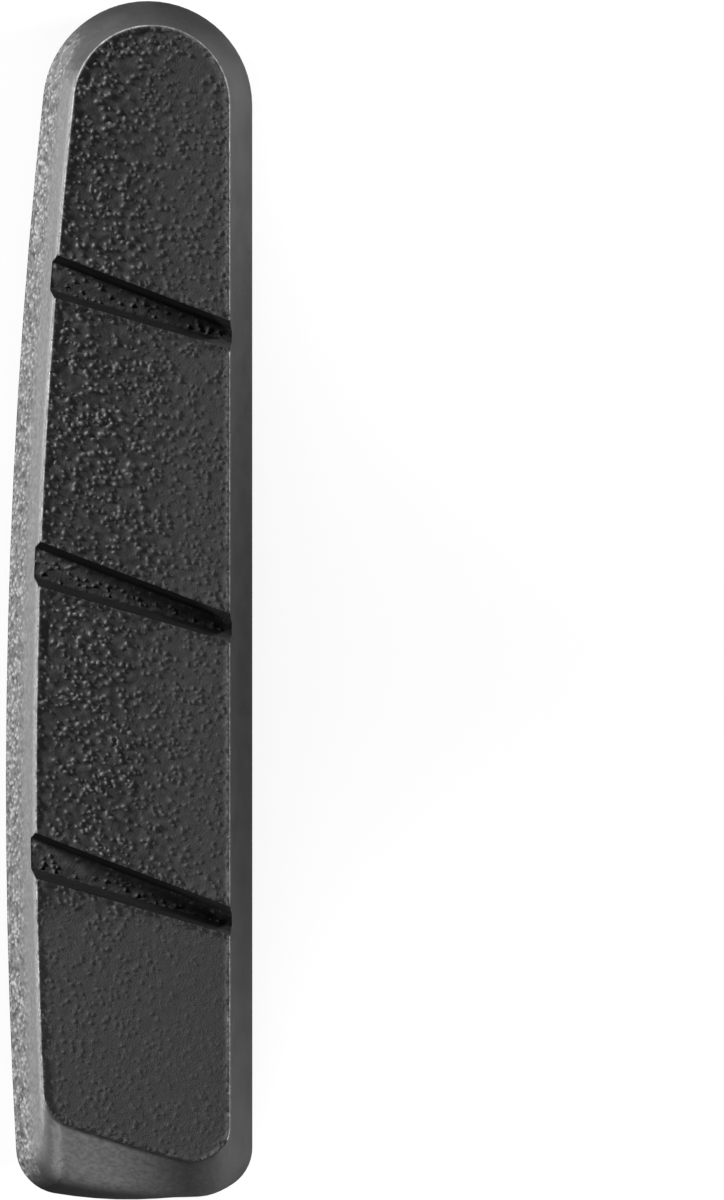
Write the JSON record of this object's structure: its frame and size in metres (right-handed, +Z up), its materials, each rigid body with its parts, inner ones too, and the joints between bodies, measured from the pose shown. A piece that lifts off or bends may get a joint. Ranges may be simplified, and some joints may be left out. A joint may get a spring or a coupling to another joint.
{
  "type": "bicycle rim brake pad",
  "caption": "Rubber brake pad insert for a road bicycle's rim brake: long block with slanted drain grooves, flared sides, a rounded nose and a back rail that slides in a shoe holder.",
  "frame": {"origin": "on the back face, under the middle of the pad's length and width", "axes": "+Z up out of the friction face, +Y along the pad to its rounded nose, -X to the curved side that faces the tyre"},
  "size_m": [0.0113, 0.055, 0.0096],
  "materials": {
    "rubber": "matt black moulded rubber, grained on the friction face and the curved side"
  },
  "bodies": {
    "root": {"brake_pad": "rubber"}
  },
  "joints": []
}
